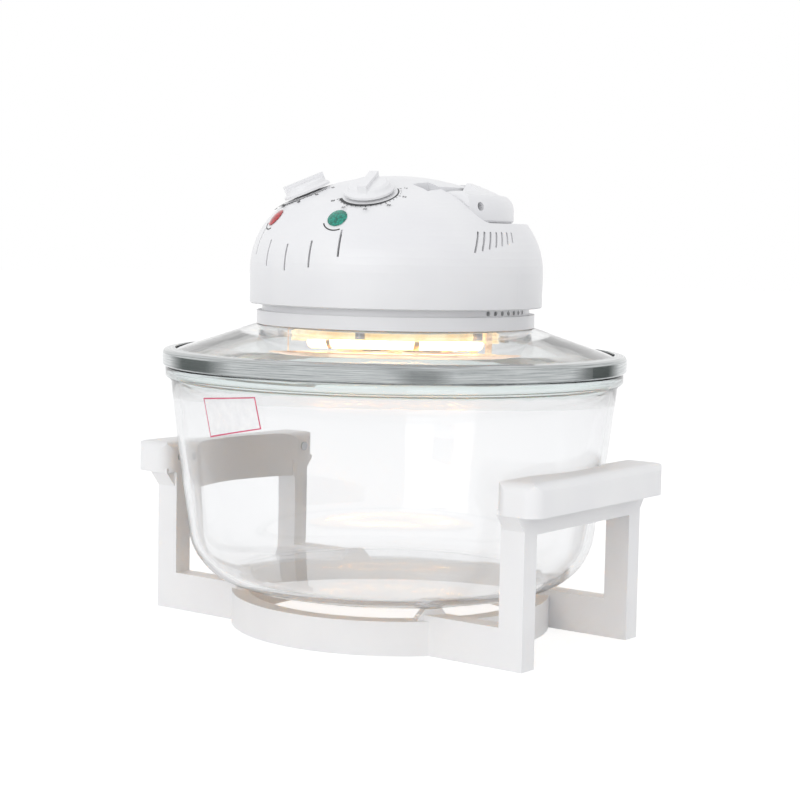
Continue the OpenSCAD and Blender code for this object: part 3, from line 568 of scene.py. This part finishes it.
def isSeen(tree):
    # 1 where the eye sees the surface directly, in a reflection or through glass
    path = addNode(tree, "ShaderNodeLightPath").outputs
    direct = addNode(tree, "ShaderNodeMath", {0: path["Is Camera Ray"], 1: path["Is Glossy Ray"]},
                     operation="MAXIMUM").outputs[0]
    return addNode(tree, "ShaderNodeMath", {0: direct, 1: path["Is Transmission Ray"]},
                   operation="MAXIMUM").outputs[0]


def paleFloor():
    # Painted studio floor: matt and even, whitened for the eye and still with the object's shadow
    material, tree = newMaterial("pale studio floor")
    soft = addNode(tree, "ShaderNodeBsdfDiffuse", {"Color": linear(stageLook["floorColour"])})
    white = addNode(tree, "ShaderNodeEmission", {"Color": linear("#FFFFFF"), "Strength": stageLook["cameraWhite"]})
    share = addNode(tree, "ShaderNodeMath", {0: isSeen(tree), 1: stageLook["cameraMix"]}, operation="MULTIPLY")
    mixed = addNode(tree, "ShaderNodeMixShader", {"Fac": share.outputs[0], 1: soft.outputs[0],
                                                  2: white.outputs[0]})
    tree.links.new(mixed.outputs[0], output(tree).inputs["Surface"])
    return material


def sceneryPlane(name, corners, material):
    bm = bmesh.new()
    bm.faces.new([bm.verts.new(corner) for corner in corners])
    plane = bpy.data.objects.new(name, finishMesh(bm, name))
    plane.data.materials.append(material)
    bpy.context.scene.collection.objects.link(plane)
    return plane


def floorPlane():
    half = stageLook["floorHalf"]
    floor = sceneryPlane("studio_floor", ((-half, -half, 0), (half, -half, 0), (half, half, 0), (-half, half, 0)),
                         paleFloor())


floorPlane()

# Studio flags: low dark cards beside and behind the set that only polished surfaces mirror, soft at their ends
flags = {"farMm": 1700, "lowMm": 2, "highMm": 130,
         "sides": ({"turn": 152, "wideMm": 1500, "tone": "#5C6260"},
                   {"turn": 287, "wideMm": 1900, "tone": "#747A78"},
                   {"turn": 50, "wideMm": 900, "tone": "#B4B6B6"})}


def flagCard(side):
    # Painted card, dark in the middle and clear at both ends
    material, tree = newMaterial("dark card flag")
    share = addNode(tree, "ShaderNodeMath", {0: objectAxes(tree)["X"], 1: 2 / (side["wideMm"] * mm)},
                    operation="MULTIPLY").outputs[0]
    away = addNode(tree, "ShaderNodeMath", {0: share}, operation="ABSOLUTE").outputs[0]
    fade = spread(tree, away, 0.0, 1.0, 0.35, 1.0)
    dark = addNode(tree, "ShaderNodeEmission", {"Color": linear(side["tone"]), "Strength": 1.0})
    none = addNode(tree, "ShaderNodeBsdfTransparent")
    mixed = addNode(tree, "ShaderNodeMixShader", {"Fac": fade, 1: dark.outputs[0], 2: none.outputs[0]})
    tree.links.new(mixed.outputs[0], output(tree).inputs["Surface"])
    return material


def studioFlag(side):
    half = side["wideMm"] * mm / 2
    low, high = flags["lowMm"] * mm, flags["highMm"] * mm
    card = sceneryPlane("studio_flag", ((-half, 0, low), (half, 0, low), (half, 0, high), (-half, 0, high)),
                        flagCard(side))
    card.matrix_world = (Matrix.Rotation(math.radians(side["turn"]), 4, "Z")
                         @ Matrix.Translation((0, -flags["farMm"] * mm, 0)))
    card.visible_camera = card.visible_diffuse = card.visible_transmission = card.visible_shadow = False


for side in flags["sides"]:
    studioFlag(side)

world = bpy.data.worlds.new("studio")
world.use_nodes = True
bpy.context.scene.world = world
air = world.node_tree
air.nodes.clear()
surround = addNode(air, "ShaderNodeBackground", {"Color": stageLook["surroundColour"],
                                                 "Strength": stageLook["surroundStrength"]})
clear = addNode(air, "ShaderNodeBackground", {"Color": linear("#FFFFFF"), "Strength": 1.0})
both = addNode(air, "ShaderNodeMixShader", {"Fac": isSeen(air), 1: surround.outputs[0], 2: clear.outputs[0]})
addNode(air, "ShaderNodeOutputWorld", {"Surface": both.outputs[0]})

# Two soft boxes: places, aims and sizes in metres
softBoxes = {"key_light": {"place": (0.3, -2.0, 0.75), "aim": (0, 0, 0.15), "size": (1.6, 1.0), "watts": 8},
             "top_light": {"place": (-0.4, 0.5, 1.8), "aim": (0, 0, 0.2), "size": (1.6, 1.6), "watts": 1.5}}


def softBox(name, place, aim, size, watts):
    light = bpy.data.lights.new(name, "AREA")
    light.shape = "RECTANGLE"
    light.size, light.size_y = size
    light.energy = watts
    box = bpy.data.objects.new(name, light)
    box.location = place
    box.rotation_euler = (Vector(aim) - Vector(place)).to_track_quat("-Z", "Y").to_euler()
    bpy.context.scene.collection.objects.link(box)


for name, look in softBoxes.items():
    softBox(name, **look)


def photoCamera():
    turn = math.radians(cameraFit["turn"])
    aside = Vector((math.cos(turn), math.sin(turn), 0))
    ahead = Vector((-math.sin(turn), math.cos(turn), 0))
    data = bpy.data.cameras.new("photo_camera")
    data.sensor_width = cameraFit["sensorMm"]
    data.lens = cameraFit["focalPx"] / cameraFit["framePx"] * data.sensor_width
    data.clip_start, data.clip_end = cameraFit["near"], cameraFit["far"]
    camera = bpy.data.objects.new("photo_camera", data)
    pitch = math.radians(cameraFit["pitch"])
    look = ahead * math.cos(pitch) - Vector((0, 0, math.sin(pitch)))
    up = ahead * math.sin(pitch) + Vector((0, 0, math.cos(pitch)))
    axes = Matrix((aside, up, -look)).transposed().to_4x4()
    place = Matrix.Translation(-ahead * cameraFit["distance"] + aside * cameraFit["sideways"]
                               + Vector((0, 0, cameraFit["height"])))
    camera.matrix_world = place @ axes @ Matrix.Rotation(math.radians(cameraFit["roll"]), 4, "Z")
    bpy.context.scene.collection.objects.link(camera)
    bpy.context.scene.camera = camera


photoCamera()
bpy.context.scene.view_settings.view_transform = "Standard"
print("stage, lights and camera made")
